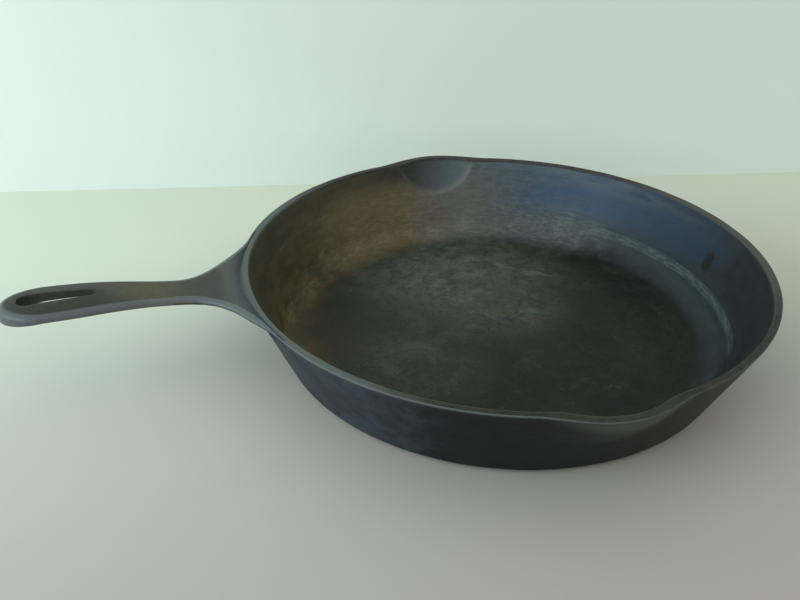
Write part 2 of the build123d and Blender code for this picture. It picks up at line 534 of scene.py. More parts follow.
def pan_angles():
    """Where the ordinary sections stand: close together at the lips, further apart elsewhere."""
    bounds = [pi + FLARE_ANGLE]
    for _, middle in LIPS:
        bounds += [middle - LIP_SPAN, middle + LIP_SPAN]
    bounds.append(3 * pi - FLARE_ANGLE)
    angles = []
    for start, end, step in zip(bounds, bounds[1:], (COARSE, FINE, COARSE, FINE, COARSE)):
        count = round((end - start) / step)
        angles.extend(start + (end - start) * i / count for i in range(count))
    return angles[1:]


def feature(angle, row, marks, root):
    """Which named feature a place on the skin belongs to."""
    if row < marks["wall"] or row >= marks["under"]:
        return "cooking_floor"
    if root and marks["apron"] <= row < marks["web_end"]:
        return "handle_root"
    if marks["scoop_low"] <= row < marks["bulge_low"]:
        for name, middle in LIPS:
            if abs(angle - middle) < LIP_SPAN:
                return name
    return "side_wall"


def make_pan(skin):
    """The pan and the handle's root. Gives the outline of the handle's cut at the neck."""
    marks = {}
    tones = pan_tones(marks, len(column(0.0, marks)))
    root = root_columns(skin, marks)
    turns = pan_angles()
    lines = list(root)
    for turn in turns:
        section = column(turn)
        lines.append(skin.add(section, tones + scoop_ridge(turn, section)))
    turns = [None] * len(root) + turns
    face_pan(skin, marks, lines, turns, len(root))
    cap_pan(skin, marks, lines, turns, root)
    middle = len(root) // 2
    neck = root[middle - NECK_STEPS : middle + NECK_STEPS + 1]
    start, end = marks["edge"], marks["edge"] + EDGE_ROWS
    return {
        "top": [line[start] for line in neck],
        "under": [line[end] for line in neck],
        "left": neck[0][start : end + 1],
        "right": neck[-1][start : end + 1],
    }


def face_pan(skin, marks, lines, turns, root_count):
    """Faces between neighbouring sections all round the pan, and in the middle of the floor."""
    last = len(lines[-1]) - 1
    poles = [skin.add([np.array([0.0, 0.0, height])])[0] for height in (FLOOR_TOP, RING_TOP)]
    for number, here in enumerate(lines):
        following = (number + 1) % len(lines)
        there = lines[following]
        between = turns[number] and turns[following]
        middle = (turns[number] + turns[following]) / 2 if between else 0.0
        for row in range(last):
            name = feature(middle, row, marks, number < root_count - 1)
            skin.face(name, here[row], here[row + 1], there[row + 1], there[row])
        skin.face("cooking_floor", poles[0], here[0], there[0])
        skin.face("cooking_floor", poles[1], there[last], here[last])


def cap_pan(skin, marks, lines, turns, root):
    """The cuts through the metal that part each feature from the wall."""

    def part(name, across, first, last):
        names = (name, "side_wall")
        first, last = marks[first], marks[last]
        skin.strip(names, [line[first] for line in across], [line[last] for line in across])
        if across[0] != across[-1]:
            skin.cap(names, across[0][first : last + 1])
            skin.cap(names, across[-1][first : last + 1])

    part("cooking_floor", lines + lines[:1], "wall", "under")
    for name, middle in LIPS:
        within = LIP_SPAN + FINE / 10
        pressed = [line for line, turn in zip(lines, turns) if turn and abs(turn - middle) < within]
        part(name, pressed, "scoop_low", "bulge_low")
    part("handle_root", root, "apron", "web_end")


def cap_section(skin, names, section):
    """Close the handle at one upright cut."""
    skin.strip(names, section["top"], section["under"])
    skin.cap(names, section["left"])
    skin.cap(names, section["right"])


def handle_section(skin, x):
    """The handle's outline at one upright cut: top, underside and both rounded sides."""
    half = grip_half(x)
    top_in, under_in = (rounded[0] for rounded in rounds(x))
    shares = [step / NECK_STEPS for step in range(NECK_STEPS, -NECK_STEPS - 1, -1)]
    top = skin.add([on_top((x, share * (half - top_in))) for share in shares])
    under = skin.add([on_under((x, share * (half - under_in))) for share in shares])
    section = {"top": top, "under": under}
    for name, side, place in (("left", 1, 0), ("right", -1, -1)):
        rows = edge_rows(np.array([x, side * half]), np.array([0, side]))[1]
        section[name] = [top[place]] + skin.add(rows[:-1], WORN_AND_HIGHLIGHTED) + [under[place]]
    return section


def join_sections(skin, name, near, far):
    """Faces between two upright cuts of the handle; far is nearer the tip."""
    for part in ("top", "right"):
        skin.quads(name, far[part], near[part])
    for part in ("under", "left"):
        skin.quads(name, near[part], far[part])


def make_grip(skin, neck):
    count = round((NECK_X - EYE_X) / ROOT_STEP)
    cap_section(skin, ("handle_root", "handle_grip"), neck)
    near = neck
    for step in range(1, count + 1):
        far = handle_section(skin, NECK_X + (EYE_X - NECK_X) * step / count)
        join_sections(skin, "handle_grip", near, far)
        near = far
    cap_section(skin, ("handle_grip", "handle_eye"), near)
    return near


def hole_point(plan):
    """The nearest place on the teardrop's outline, and the way out of the hole there."""
    wide, narrow = np.array([HOLE_WIDE_X, 0]), np.array([HOLE_NARROW_X, 0])
    length = HOLE_NARROW_X - HOLE_WIDE_X
    lean = (HOLE_WIDE - HOLE_NARROW) / length
    upright = sqrt(1 - lean**2)
    side = 1 if plan[1] >= 0 else -1
    out = np.array([lean, side * upright])
    share = (plan - wide) @ np.array([upright, -lean * side]) / (length * upright)
    for beyond, middle, radius in ((share <= 0, wide, HOLE_WIDE), (share >= 1, narrow, HOLE_NARROW)):
        if beyond:
            out = (plan - middle) / np.linalg.norm(plan - middle)
            return middle + out * radius, out
    start, end = wide + out * HOLE_WIDE, narrow + out * HOLE_NARROW
    return start + (end - start) * share, out


def eye_line():
    """The outline of the handle's end, from one side of the cut round the tip to the other."""
    grip = grip_line()
    grip = grip[grip[:, 0] <= EYE_X]
    start = np.array([[EYE_X, grip_half(EYE_X)]])
    half = np.concatenate([start, grip[::-1], nose_line()[::-1][1:]])
    whole = np.concatenate([half, half[::-1][1:] * [1, -1]])
    line, way = spread(whole, EYE_STEPS)
    outward = np.stack([-way[:, 1], way[:, 0]], axis=1)
    outward *= np.sign(np.sum(outward * (line - [HOLE_WIDE_X, 0]), axis=1))[:, None]
    near_cut = smooth_step((EYE_X - line[:, 0]) / SQUARE_RUN)[:, None]
    square = np.stack([np.zeros(len(line)), np.sign(line[:, 1])], axis=1)
    outward = square + (outward - square) * near_cut
    return line, outward / np.linalg.norm(outward, axis=1)[:, None]


def hole_column(skin, top_end, under_end, rim_rows):
    """One ring section round the hanging hole, from its wall across the top to the handle's edge and back."""
    plan, out = hole_point(skin.points[top_end][:2])
    top_in = on_top(plan + out * HOLE_ROUND)
    bead_depth = HOLE_BEAD * float(smooth_step((HOLE_NARROW_X - plan[0]) / (HOLE_NARROW_X - HOLE_WIDE_X)))
    bead = np.array([0, 0, bead_depth])
    under_in = on_under(plan + out * HOLE_ROUND) - bead
    upper = on_top(plan) - [0, 0, HOLE_ROUND]
    lower = on_under(plan) + [0, 0, HOLE_ROUND] - bead
    across_top = lay_on(straight(top_in, skin.points[top_end], ACROSS_ROWS)[:-1], top_height)
    across_under = lay_on(straight(skin.points[under_end], under_in, ACROSS_ROWS), under_height)
    across_under[:, 2] -= bead_depth * smooth_step(evenly(ACROSS_ROWS))
    round_under = bend(under_in, on_under(plan) - bead, lower, HOLE_ROWS)
    round_top = bend(upper, on_top(plan), top_in, HOLE_ROWS)
    across = skin.add(np.concatenate([round_under, straight(lower, upper, HOLE_ROWS), round_top, across_top]))
    return across + [top_end], rim_rows, [under_end] + skin.add(across_under)


def make_eye(skin, cut):
    """The handle's end, divided into ring sections round the hanging hole."""
    line, outward = eye_line()
    columns = []
    for place in range(2 * NECK_STEPS, 0, -1):
        rim = cut["right"] if place == 2 * NECK_STEPS else None
        columns.append(hole_column(skin, cut["top"][place], cut["under"][place], rim))
    columns.append(hole_column(skin, cut["top"][0], cut["under"][0], cut["left"]))
    for step in range(1, len(line) - 1):
        start, rows = edge_rows(line[step], outward[step])
        top_end = skin.add([start])[0]
        rim = [top_end] + skin.add(rows, WORN_AND_HIGHLIGHTED)
        columns.append(hole_column(skin, top_end, rim[-1], rim))
    for here, there in zip(columns, columns[1:] + columns[:1]):
        skin.quads("handle_eye", here[0], there[0])
        if here[1] and there[1]:
            skin.quads("handle_eye", here[1], there[1])
        skin.quads("handle_eye", here[2], there[2])
        skin.face("handle_eye", here[2][-1], here[0][0], there[0][0], there[2][-1])


# ---- meshes ----


class Tree:
    """A tree of nodes, for a material or for geometry."""

    def __init__(self, tree):
        self.tree = tree

    def node(self, kind, settings=(), values=(), output=0):
        """Add a node: its settings first, then its sockets' values or links. Give one output."""
        made = self.tree.nodes.new(kind)
        for name, value in dict(settings).items():
            setattr(made, name, value)
        sockets = {socket.identifier: socket for socket in made.inputs}
        for name, value in dict(values).items():
            if isinstance(value, Value):
                self.tree.links.new(value.socket, sockets[name])
            else:
                sockets[name].default_value = value
        return Value(self, made.outputs[output])


def arithmetic(operation, turned=False):
    """A method that adds a Math node. It is turned where the plain number comes first."""

    def method(self, other):
        first, second = (other, self) if turned else (self, other)
        values = {"Value": first, "Value_001": second}
        return self.tree.node("ShaderNodeMath", {"operation": operation}, values)

    return method


class Value:
    """A number in a tree of nodes. Arithmetic on it adds the Math nodes that work it out."""

    def __init__(self, tree, socket):
        self.tree = tree
        self.socket = socket

    __add__ = arithmetic("ADD")
    __radd__ = arithmetic("ADD", turned=True)
    __sub__ = arithmetic("SUBTRACT")
    __rsub__ = arithmetic("SUBTRACT", turned=True)
    __mul__ = arithmetic("MULTIPLY")
    __rmul__ = arithmetic("MULTIPLY", turned=True)
    __truediv__ = arithmetic("DIVIDE")
    __rtruediv__ = arithmetic("DIVIDE", turned=True)
    __pow__ = arithmetic("POWER")
    most = arithmetic("MAXIMUM")

    def step(self, low, high):
        """0 below low, 1 above high, smooth between; falls instead where high is below low."""
        values = {"Value": self, "From Min": low, "From Max": high, "To Min": 0.0, "To Max": 1.0}
        return self.tree.node("ShaderNodeMapRange", {"interpolation_type": "SMOOTHSTEP"}, values)


def geometry_tree(name, sizes):
    """An empty geometry tree with named inputs for its sizes."""
    group = bpy.data.node_groups.new(name, "GeometryNodeTree")
    group.interface.new_socket("Geometry", in_out="INPUT", socket_type="NodeSocketGeometry")
    group.interface.new_socket("Finish", in_out="INPUT", socket_type="NodeSocketMaterial")
    for size in sizes:
        group.interface.new_socket(size, in_out="INPUT", socket_type="NodeSocketFloat")
    group.interface.new_socket("Geometry", in_out="OUTPUT", socket_type="NodeSocketGeometry")
    tree = Tree(group)
    start = group.nodes.new("NodeGroupInput")
    return tree, {socket.name: Value(tree, socket) for socket in start.outputs if socket.name}


def end_tree(tree, geometry, finish):
    """Every tree ends alike: instances made real, the finish set."""
    real = tree.node("GeometryNodeRealizeInstances", {}, {"Geometry": geometry})
    done = tree.node("GeometryNodeSetMaterial", {}, {"Geometry": real, "Material": finish})
    end = tree.tree.nodes.new("NodeGroupOutput")
    tree.tree.links.new(done.socket, end.inputs[0])
    return tree.tree


def add_cast_unevenness(tree, geometry, depth, swell):
    """Press the surface in by a gentle unevenness, as a sand mould leaves it."""
    place = tree.node("GeometryNodeInputPosition")
    noise = tree.node(
        "ShaderNodeTexNoise",
        {"noise_dimensions": "4D"},
        {"Vector": place, "W": CAST_SEED, "Scale": 1 / swell, "Detail": 2.0, "Roughness": 0.45},
    )
    inward = tree.node(
        "ShaderNodeVectorMath",
        {"operation": "SCALE"},
        {"Vector": tree.node("GeometryNodeInputNormal"), "Scale": noise * depth * -1.0},
    )
    return tree.node("GeometryNodeSetPosition", {}, {"Geometry": geometry, "Offset": inward})


def cast_skin_tree():
    tree, given = geometry_tree("cast_skin", ("Depth", "Swell"))
    uneven = add_cast_unevenness(tree, given["Geometry"], given["Depth"], given["Swell"])
    return end_tree(tree, uneven, given["Finish"])


def turned_ring_tree():
    """A ring of rounded rectangular section, turned about the pan's axis."""
    sizes = ("Middle radius", "Width", "Height", "Round", "Depth", "Swell")
    tree, given = geometry_tree("turned_ring", sizes)
    values = {"Resolution": RING_SEGMENTS, "Radius": given["Middle radius"]}
    circle = tree.node("GeometryNodeCurvePrimitiveCircle", {}, values)
    values = {"Width": given["Width"], "Height": given["Height"]}
    section = tree.node("GeometryNodeCurvePrimitiveQuadrilateral", {}, values)
    values = {"Curve": section, "Radius": given["Round"], "Count": ROUND_SEGMENTS}
    rounded = tree.node("GeometryNodeFilletCurve", {"mode": "POLY"}, values)
    turned = tree.node("GeometryNodeCurveToMesh", {}, {"Curve": circle, "Profile Curve": rounded})
    lift = tree.node("ShaderNodeCombineXYZ", {}, {"Z": given["Height"] / 2.0})
    lifted = tree.node("GeometryNodeTransform", {}, {"Geometry": turned, "Translation": lift})
    uneven = add_cast_unevenness(tree, lifted, given["Depth"], given["Swell"])
    return end_tree(tree, uneven, given["Finish"])


def show(name, data):
    """A new object in the scene."""
    made = bpy.data.objects.new(name, data)
    bpy.context.scene.collection.objects.link(made)
    return made


def grow(name, mesh, tree, sizes, finish):
    """Run a geometry tree on a mesh and give the result as a plain mesh."""
    maker = show(name, mesh)
    modifier = maker.modifiers.new(name, "NODES")
    modifier.node_group = tree
    numbers = {item.name: item.identifier for item in tree.interface.items_tree if item.in_out == "INPUT"}
    modifier[numbers["Finish"]] = finish
    for size, value in sizes.items():
        modifier[numbers[size]] = value
    seen = maker.evaluated_get(bpy.context.evaluated_depsgraph_get())
    grown = bpy.data.meshes.new_from_object(seen)
    grown.name = name
    bpy.data.objects.remove(maker)
    return grown


def add_piece(name, mesh, node):
    """Show a mesh in place of one node of the construction."""
    piece = show(name, mesh)
    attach(piece, BODY)
    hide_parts(node)


def face_outwards(mesh, weld=0.0):
    """Turn a closed mesh's faces outwards, after points that lie together are joined."""
    shell = bmesh.new()
    shell.from_mesh(mesh)
    if weld:
        bmesh.ops.remove_doubles(shell, verts=shell.verts, dist=weld)
    bmesh.ops.recalc_face_normals(shell, faces=shell.faces)
    shell.to_mesh(mesh)
    shell.free()
    mesh.polygons.foreach_set("use_smooth", [True] * len(mesh.polygons))


NO_AREA = 1e-12


def point_normals(points, faces):
    """The casting's normal at each point, larger faces counting for more."""
    normals = np.zeros_like(points)
    for size in (3, 4):
        group = np.array([face for face in faces if len(face) == size])
        first, second, last = (points[group[:, corner]] for corner in (0, 1, -1))
        across = points[group[:, 2]] - first if size == 4 else second - first
        area = np.cross(across, last - second)
        for corner in range(size):
            np.add.at(normals, group[:, corner], area)
    return normals / np.maximum(np.linalg.norm(normals, axis=1), NO_AREA)[:, None]


def make_casting(finish):
    """Make the skin in one, give it its cast unevenness, and part it into closed features."""
    skin = Skin()
    make_eye(skin, make_grip(skin, make_pan(skin)))
    faces = [face for group in skin.faces.values() for face in group]
    whole = bpy.data.meshes.new("casting")
    whole.from_pydata([tuple(point) for point in skin.points], [], faces)
    sizes = {"Depth": CAST_DEPTH, "Swell": CAST_SWELL}
    whole = grow("casting", whole, cast_skin_tree(), sizes, finish)
    points = np.empty(len(whole.vertices) * 3)
    whole.vertices.foreach_get("co", points)
    points = points.reshape(-1, 3)
    normals = point_normals(points, faces)
    tones = np.array(skin.tones)
    for name in skin.faces:
        mesh = part_feature(name, skin, points, normals, tones)
        mesh.materials.append(finish)
        add_piece("cast_" + name, mesh, name)


def part_feature(name, skin, points, normals, tones):
    """One feature's faces, closed by its caps, shaded as part of the whole casting."""
    faces = skin.faces[name] + skin.caps[name]
    used = np.unique(np.concatenate([np.array(face) for face in faces]))
    place = np.full(len(points), -1)
    place[used] = np.arange(len(used))
    mesh = bpy.data.meshes.new(name)
    mesh.from_pydata(points[used].tolist(), [], [[int(place[corner]) for corner in face] for face in faces])
    face_outwards(mesh)
    for number, tone in enumerate(TONES):
        layer = mesh.attributes.new(tone, "FLOAT", "POINT")
        layer.data.foreach_set("value", tones[used, number].astype(np.float32))
    outside = len(skin.faces[name])
    shading = []
    for polygon in mesh.polygons:
        cut = polygon.index >= outside
        for corner in polygon.vertices:
            shading.append(tuple(polygon.normal) if cut else tuple(normals[used[corner]]))
    mesh.normals_split_custom_set(shading)
    return mesh


def make_ring(finish):
    sizes = {
        "Middle radius": RING_OUTER - RING_WIDTH / 2,
        "Width": RING_WIDTH,
        "Height": RING_TOP,
        "Round": RING_ROUND,
        "Depth": CAST_DEPTH * RING_SMOOTHNESS,
        "Swell": CAST_SWELL,
    }
    mesh = grow("heat_ring", bpy.data.meshes.new("ring"), turned_ring_tree(), sizes, finish)
    face_outwards(mesh, WELD)
    add_piece("cast_heat_ring", mesh, "heat_ring")


# ---- finish ----

# shades, in red, green and blue from 0 to 255
SHADES = {
    "oiled_floor": (4, 5, 3),
    "dry_floor": (24, 26, 21),
    "scuffed": (80, 86, 75),
    "swept": (98, 104, 98),
    "scratched": (122, 125, 110),
    "olive": (30, 40, 22),
    "tan": (70, 56, 40),
    "pitted": (12, 12, 9),
    "browned": (52, 46, 26),
    "ruddy": (66, 54, 38),
    "oiled_wall": (18, 20, 17),
    "dry_wall": (34, 34, 28),
    "olive_brown": (66, 63, 42),
    "rust_brown": (88, 66, 32),
    "warm_grey": (104, 88, 64),
    "slate": (84, 92, 92),
    "inner_wall_painted_sheen": (44, 68, 96),
    "pale_slate": (80, 90, 92),
    "blue_black": (28, 36, 40),
    "warm_chalk": (124, 118, 96),
    "cold_chalk": (86, 102, 108),
    "salt_and_sheen": (108, 122, 126),
    "dust": (54, 70, 78),
    "worn_line": (96, 90, 68),
    "scoop_painted_shade": (30, 30, 26),
    "scoop_painted_sheen": (62, 76, 84),
    "worn_and_highlighted_ridge": (112, 118, 112),
    "stain": (20, 12, 12),
    "soot": (1, 2, 3),
    "dry_soot": (16, 19, 23),
    "brown_soot": (46, 44, 32),
    "outer_wall_painted_sheen": (46, 60, 74),
    "dark_handle": (42, 47, 42),
    "bare_handle": (74, 77, 64),
    "patched_handle": (34, 42, 44),
    "dark_tip": (34, 36, 29),
    "brown_grip": (82, 72, 44),
    "blue_neck": (42, 52, 54),
    "oiled_rim": (18, 17, 15),
    "dry_rim": (48, 44, 37),
    "rim_by_handle": (88, 97, 90),
    "far_rim": (84, 86, 76),
    "worn_edge_and_highlight": (96, 102, 104),
    "counter": (206, 214, 196),
    "clouded_counter": (212, 218, 202),
    "counter_painted_shade": (170, 162, 160),
    "paint": (220, 228, 222),
    "clouded_paint": (226, 233, 226),
}

# patches in plan, in millimetres: x, y, how far each is full, how far it reaches
PATCHES = {
    "scuffed": (-12, 62, 20, 108),
    "rubbed": (-62, -25, 8, 62),
    "swept": (5, 45, 15, 70),
    "browned": (-118, 8, 20, 66),
    "ruddy": (20, 25, 4, 42),
    "brown_grip": (-194, 2, 8, 36),
    "blue_neck": (-166, 0, 4, 24),
}

# sides of the pan, in degrees: direction, how far round each is full, how far round it reaches
SIDES = {
    "by_handle": (165, 30, 78),
    "under_lip": (102, 10, 40),
    "behind": (66, 12, 38),
    "inner_wall_painted_sheen": (33, 10, 46),
    "pale_slate": (44, 20, 46),
    "far": (-8, 20, 50),
    "unchalked": (0, 20, 50),
    "cold_chalk": (0, 30, 60),
    "salt_and_sheen": (2, 26, 44),
    "dust": (-2, 14, 50),
    "worn_line": (140, 12, 22),
    "brown_soot": (-30, 18, 62),
    "outer_wall_painted_sheen": (206, 10, 34),
    "rim_by_handle": (180, 34, 62),
    "far_rim": (-4, 14, 40),
    "worn_edge_and_highlight": (208, 34, 76),
}

# a noise runs from about 0.3 to 0.7: where its blots begin and where they are full
SOFT = (0.36, 0.64)
CRISP = (0.38, 0.62)


def shade(name):
    """A named shade as light."""
    parts = [value / 255 for value in SHADES[name]]
    return tuple(p / 12.92 if p <= 0.04045 else ((p + 0.055) / 1.055) ** 2.4 for p in parts) + (1.0,)


def mix(tree, amount, first, second):
    """A mixture of two colours or named shades."""
    first, second = (shade(part) if isinstance(part, str) else part for part in (first, second))
    values = {"Factor_Float": amount, "A_Color": first, "B_Color": second}
    return tree.node("ShaderNodeMix", {"data_type": "RGBA"}, values, output=2)


class IronPattern:
    """The places and noises that the finish of the iron is mixed from."""

    def __init__(self, tree):
        self.tree = tree
        self.place = tree.node("ShaderNodeTexCoord", output=3)
        self.x, self.y, self.z = (
            tree.node("ShaderNodeSeparateXYZ", {}, {"Vector": self.place}, output=axis) for axis in range(3)
        )
        self.radius = (self.x * self.x + self.y * self.y) ** 0.5
        self.across = self.radius.most(MM)
        turned = {
            "X": self.x / self.across * STREAK_TURN,
            "Y": self.y / self.across * STREAK_TURN,
            "Z": self.radius + self.z,
        }
        around = tree.node("ShaderNodeCombineXYZ", {}, turned)
        self.streak = self.noise(1.8 * MM, 4.0, 0.65, around)
        self.wide_streak = self.noise(8 * MM, 3.0, 0.5, around)
        self.cloud = self.noise(42 * MM, 5.0, 0.6, distortion=0.5)
        self.blot = self.noise(12 * MM, 5.0, 0.65)
        self.fleck = self.noise(3.4 * MM, 4.0, 0.75)
        self.speck = self.noise(1.5 * MM, 2.0, 0.6)
        self.grain = self.noise(0.9 * MM, 3.0, 0.7)

    def noise(self, size, detail, roughness, vector=None, distortion=0.0):
        """Cloudy noise whose blots are about the given size across."""
        values = {"Vector": vector or self.place, "Scale": 1 / size, "Detail": detail}
        values.update({"Roughness": roughness, "Distortion": distortion})
        return self.tree.node("ShaderNodeTexNoise", {}, values)

    def tone(self, name):
        return self.tree.node("ShaderNodeAttribute", {"attribute_name": name}, output=2)

    def patch(self, name):
        """1 in the middle of a named patch, 0 beyond it, with a ragged border."""
        x, y, core, reach = (value * MM for value in PATCHES[name])
        aside = ((self.x - x) ** 2.0 + (self.y - y) ** 2.0) ** 0.5
        return (aside + (self.cloud - 0.5) * reach * 0.9 + (self.blot - 0.5) * reach * 0.4).step(reach, core)

    def side(self, name):
        """1 towards a named side of the pan, 0 well away from it, with a ragged border."""
        turn, core, reach = (radians(value) for value in SIDES[name])
        facing = (self.x * cos(turn) + self.y * sin(turn)) / self.across
        return (facing + (self.blot - 0.5) * 0.2).step(cos(reach), cos(core))

    def band(self, height, half_width, full):
        """1 at one height of the wall, 0 half a band's width above and below it."""
        offset = (self.z - height) / half_width
        return (offset * offset).step(1.0, full)

    def layers(self, colour, layers):
        """Lay colours or named shades over one another, each as strongly as its amount says."""
        for over, amount in layers:
            colour = mix(self.tree, amount, colour, over)
        return colour


def floor_look(iron):
    """The cooking floor: dark, scuffed pale in the middle and towards the back, brown by the handle."""
    mottle = (iron.fleck * 0.45 + iron.blot * 0.55).step(*SOFT)
    clouded = (iron.blot * 0.6 + iron.cloud * 0.4).step(*CRISP)
    worn = iron.patch("scuffed").most(iron.patch("rubbed") * 0.6)
    scratched = (iron.streak * 0.45 + iron.speck * 0.3 + iron.fleck * 0.25).step(0.56, 0.72)
    layers = (
        ("dry_floor", mottle),
        ("scuffed", worn * (0.35 + clouded * 0.65)),
        ("swept", iron.wide_streak.step(0.5, 0.72) * iron.patch("swept") * 0.5),
        ("scratched", scratched * (0.12 + worn * clouded * 0.6)),
        ("olive", iron.cloud.step(0.46, 0.6) * 0.35),
        ("tan", (iron.blot * 0.7 + iron.fleck * 0.3).step(0.54, 0.68) * 0.4),
        ("pitted", (iron.speck * 0.6 + iron.fleck * 0.4).step(0.47, 0.34) * 0.7),
        ("browned", iron.patch("browned") * (0.35 + mottle * 0.4)),
        ("ruddy", iron.patch("ruddy") * iron.blot.step(0.45, 0.65) * 0.5),
    )
    return iron.layers("oiled_floor", layers)


def scoop_layers(iron, fine):
    """The pressed scoops, with painted shade towards their left and a painted bluish sheen towards their
    right, and a worn ridge round them that carries a painted highlight on its right.
    """
    across = (iron.y**2.0) ** 0.5 - BALL_Y
    from_ball = (iron.x**2.0 + across**2.0 + (iron.z - HEIGHT - SCOOP_RISE) ** 2.0) ** 0.5
    beyond = from_ball - SCOOP
    # the ridge round a scoop: worn, and from the middle rightwards given a painted highlight
    ridge_wear_and_highlight = beyond.step(0.1 * MM, 0.8 * MM) * beyond.step(2.4 * MM, 1.2 * MM)
    ridge_wear_and_highlight = ridge_wear_and_highlight * iron.x.step(-16 * MM, 14 * MM) * iron.z.step(HEIGHT - 1 * MM, HEIGHT - 5 * MM)
    # inside the scoop: painted shade towards the left, painted bluish sheen towards the right
    scoop_shade_and_sheen = mix(iron.tree, iron.x.step(-22 * MM, 20 * MM), "scoop_painted_shade", "scoop_painted_sheen")
    return (scoop_shade_and_sheen, beyond.step(1.1 * MM, 0.1 * MM) * (0.55 + fine * 0.3)), ("worn_and_highlighted_ridge", ridge_wear_and_highlight * 0.6)


def wall_look(iron):
    """The inner wall: brown by the handle and below the back lip, blue-black on the far side, with a painted
    bluish reflection of the window on the back right and a partly painted sheen in the arc by the foot.
    """
    mottle = (iron.blot * 0.5 + iron.wide_streak * 0.5).step(*SOFT)
    fine = (iron.fleck * 0.5 + iron.streak * 0.5).step(*CRISP)
    by_handle = iron.side("by_handle")
    under_lip = iron.side("under_lip") * iron.z.step(HEIGHT - 2 * MM, HEIGHT - 22 * MM)
    slate = iron.z.step(HEIGHT - 15 * MM, HEIGHT - 6 * MM) * iron.wide_streak.step(0.36, 0.6)
    foot = iron.radius.step(FLAT - 2 * MM, FLAT + 9 * MM) * iron.radius.step(FLAT + 24 * MM, FLAT + 12 * MM)
    chalky = (iron.streak * 0.7 + iron.blot * 0.5).step(0.6, 0.8) * (1 - iron.side("unchalked") * 0.8)
    chalk = mix(iron.tree, iron.side("cold_chalk"), "warm_chalk", "cold_chalk")
    # a pale arc along the foot: partly a salt-white deposit, partly a painted reflection of the bright room
    # on the bend
    salt_and_sheen_arc = iron.band(ARC_HEIGHT, ARC_WIDTH, 0.1) * iron.side("salt_and_sheen")
    lined = iron.band(LINE_HEIGHT, LINE_WIDTH, 0.2) * iron.side("worn_line")
    x, y, z = ((place - middle) ** 2.0 for place, middle in zip((iron.x, iron.y, iron.z), STAIN))
    stained = ((x + y * 1.6 + z * 0.5) ** 0.5 + (iron.fleck - 0.5) * 10 * MM).step(6 * MM, 3 * MM)
    layers = (
        ("dry_wall", mottle * 0.6 + fine * 0.4),
        ("olive_brown", by_handle * (0.5 + mottle * 0.45)),
        ("rust_brown", by_handle * iron.z.step(34 * MM, 14 * MM) * mottle * 0.6),
        ("warm_grey", under_lip * (0.6 + fine * 0.4)),
        ("slate", iron.side("behind") * (0.5 + fine * 0.45)),
        # painted reflection: a bluish sheen of the window laid into the colour of the back right of the inner
        # wall
        ("inner_wall_painted_sheen", iron.side("inner_wall_painted_sheen") * iron.z.step(14 * MM, 34 * MM) * (0.55 + mottle * 0.35)),
        ("pale_slate", iron.side("pale_slate") * slate * 0.6),
        ("blue_black", iron.side("far") * (0.3 + mottle * 0.3)),
        (chalk, foot * chalky * 0.4),
        ("salt_and_sheen", salt_and_sheen_arc * (0.25 + iron.streak.step(0.38, 0.64) * 0.75) * 0.42),
        ("dust", foot * iron.side("dust") * (0.4 + iron.wide_streak * 0.6) * 0.4),
        ("worn_line", lined * iron.streak.step(0.4, 0.6) * 0.45),
        *scoop_layers(iron, fine),
        ("stain", stained * 0.9),
    )
    return iron.layers("oiled_wall", layers)


def outer_look(iron):
    """The outside of the wall, with a painted bluish reflection of the window on its left, and the handle,
    which hands have kept paler.
    """
    mottle = (iron.cloud * 0.4 + iron.blot * 0.4 + iron.fleck * 0.2).step(*CRISP)
    fine = (iron.blot * 0.45 + iron.speck * 0.25 + iron.fleck * 0.3).step(*CRISP)
    handle_layers = (
        ("bare_handle", fine),
        ("patched_handle", (iron.cloud * 0.5 + iron.blot * 0.5).step(0.5, 0.62) * 0.6),
        ("dark_tip", iron.x.step(-196 * MM, -232 * MM) * 0.6),
        ("brown_grip", iron.patch("brown_grip") * 0.5),
        ("blue_neck", iron.patch("blue_neck") * 0.6),
        ("rim_by_handle", iron.radius.step(RIM + 14 * MM, RIM + 1 * MM) * 0.8),
    )
    layers = (
        ("dry_soot", mottle),
        ("brown_soot", iron.side("brown_soot") * (0.3 + mottle * 0.3)),
        # painted reflection: the window's bluish sheen laid into the colour of the outer wall on the left
        ("outer_wall_painted_sheen", iron.side("outer_wall_painted_sheen") * (0.35 + mottle * 0.5)),
        (iron.layers("dark_handle", handle_layers), iron.radius.step(RIM - 3 * MM, RIM + 10 * MM)),
    )
    return iron.layers("soot", layers)


def rim_look(iron):
    """The ground flat of the rim, pale by the handle and on the far side."""
    layers = (
        ("dry_rim", (iron.streak * 0.6 + iron.fleck * 0.4).step(0.36, 0.62)),
        ("rim_by_handle", iron.side("rim_by_handle") * 0.9),
        ("far_rim", iron.side("far_rim") * 0.6),
    )
    return iron.layers("oiled_rim", layers)


def new_finish(name):
    material = bpy.data.materials.new(name)
    material.use_nodes = True
    material.node_tree.nodes.clear()
    return material, Tree(material.node_tree)


def set_surface(material, shader):
    end = material.node_tree.nodes.new("ShaderNodeOutputMaterial")
    material.node_tree.links.new(shader.socket, end.inputs["Surface"])
    return material


